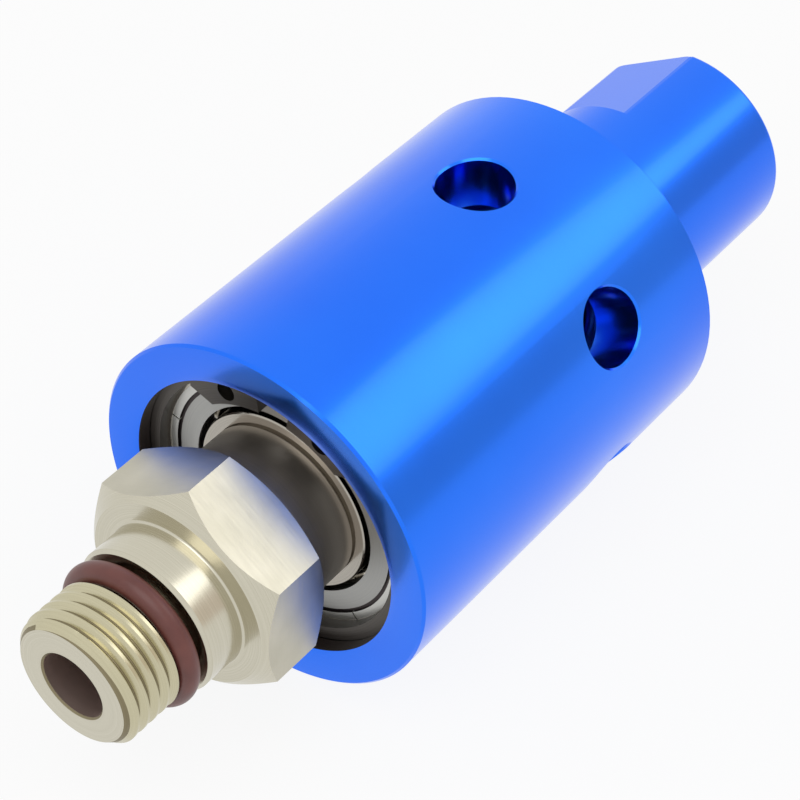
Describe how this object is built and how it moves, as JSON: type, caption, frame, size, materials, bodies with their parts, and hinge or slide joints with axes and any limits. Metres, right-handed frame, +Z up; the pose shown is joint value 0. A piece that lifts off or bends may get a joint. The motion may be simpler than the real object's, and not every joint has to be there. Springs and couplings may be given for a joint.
{
  "type": "hydraulic rotary union",
  "caption": "Rotary union: a bored rotor with a threaded end and wrench hexagon turns on ball bearings in a round housing with an inlet stub and radial vent holes.",
  "frame": {"origin": "on the spin axis, at the end of the rotor's pilot, where the hexagon seats against the spindle", "axes": "+X along the spin axis from the spindle to the inlet port, +Z up through one of the vent holes at rest, +Y completes the right-handed frame"},
  "size_m": [0.1142, 0.044, 0.044],
  "materials": {
    "blue_anodised": "bright blue anodised, turned and polished",
    "nickel_steel": "turned stainless steel, warm grey, satin on the hexagon",
    "bearing_steel": "ground bearing steel",
    "shield_steel": "pressed sheet steel, matte",
    "spring_steel": "phosphated spring steel, dark grey",
    "turned_steel": "turned steel",
    "brown_rubber": "brown fluoroelastomer, slight sheen",
    "black_rubber": "black nitrile",
    "white_ptfe": "white fluoropolymer",
    "silicon_carbide": "lapped dark grey ceramic",
    "carbon_graphite": "machined carbon graphite"
  },
  "bodies": {
    "rotor": {"rotor": "nickel_steel", "pilot_o_ring": "brown_rubber", "front_bearing_inner_ring": "bearing_steel", "rear_bearing_inner_ring": "bearing_steel", "inner_spacer": "turned_steel", "shaft_circlip": "spring_steel", "rotating_seal_ring": "silicon_carbide"},
    "housing": {"housing": "blue_anodised", "housing_circlip": "spring_steel", "front_bearing_outer_ring": "bearing_steel", "rear_bearing_outer_ring": "bearing_steel", "front_bearing_front_shield": "shield_steel", "front_bearing_rear_shield": "shield_steel", "rear_bearing_front_shield": "shield_steel", "rear_bearing_rear_shield": "shield_steel", "outer_spacer": "turned_steel", "carrier_o_ring": "black_rubber", "carrier_backup_ring": "white_ptfe", "anti_rotation_pins": "bearing_steel", "carrier_spring": "turned_steel"},
    "front_ball_set": {"front_bearing_balls": "bearing_steel", "front_bearing_cage": "shield_steel"},
    "rear_ball_set": {"rear_bearing_balls": "bearing_steel", "rear_bearing_cage": "shield_steel"},
    "seal_carrier": {"seal_carrier": "turned_steel", "stationary_seal_ring": "carbon_graphite"}
  },
  "joints": [
    {"name": "housing_spin", "type": "hinge", "parent": "rotor", "child": "housing", "pos_m": [0, 0, 0], "axis": [1, 0, 0], "continuous": true},
    {"name": "front_ball_set_spin", "type": "hinge", "parent": "rotor", "child": "front_ball_set", "pos_m": [0.0222, 0, 0], "axis": [1, 0, 0], "continuous": true},
    {"name": "rear_ball_set_spin", "type": "hinge", "parent": "rotor", "child": "rear_ball_set", "pos_m": [0.0382, 0, 0], "axis": [1, 0, 0], "continuous": true},
    {"name": "seal_float", "type": "slide", "parent": "housing", "child": "seal_carrier", "axis": [1, 0, 0], "range_m": [0, 0.0015], "stiffness_N_per_m": 2500, "springref_m": -0.006, "deforming": ["carrier_spring"]}
  ],
  "couplings": [
    {"joint": "front_ball_set_spin", "follows": "housing_spin", "ratio": 0.5916},
    {"joint": "rear_ball_set_spin", "follows": "housing_spin", "ratio": 0.5916}
  ]
}
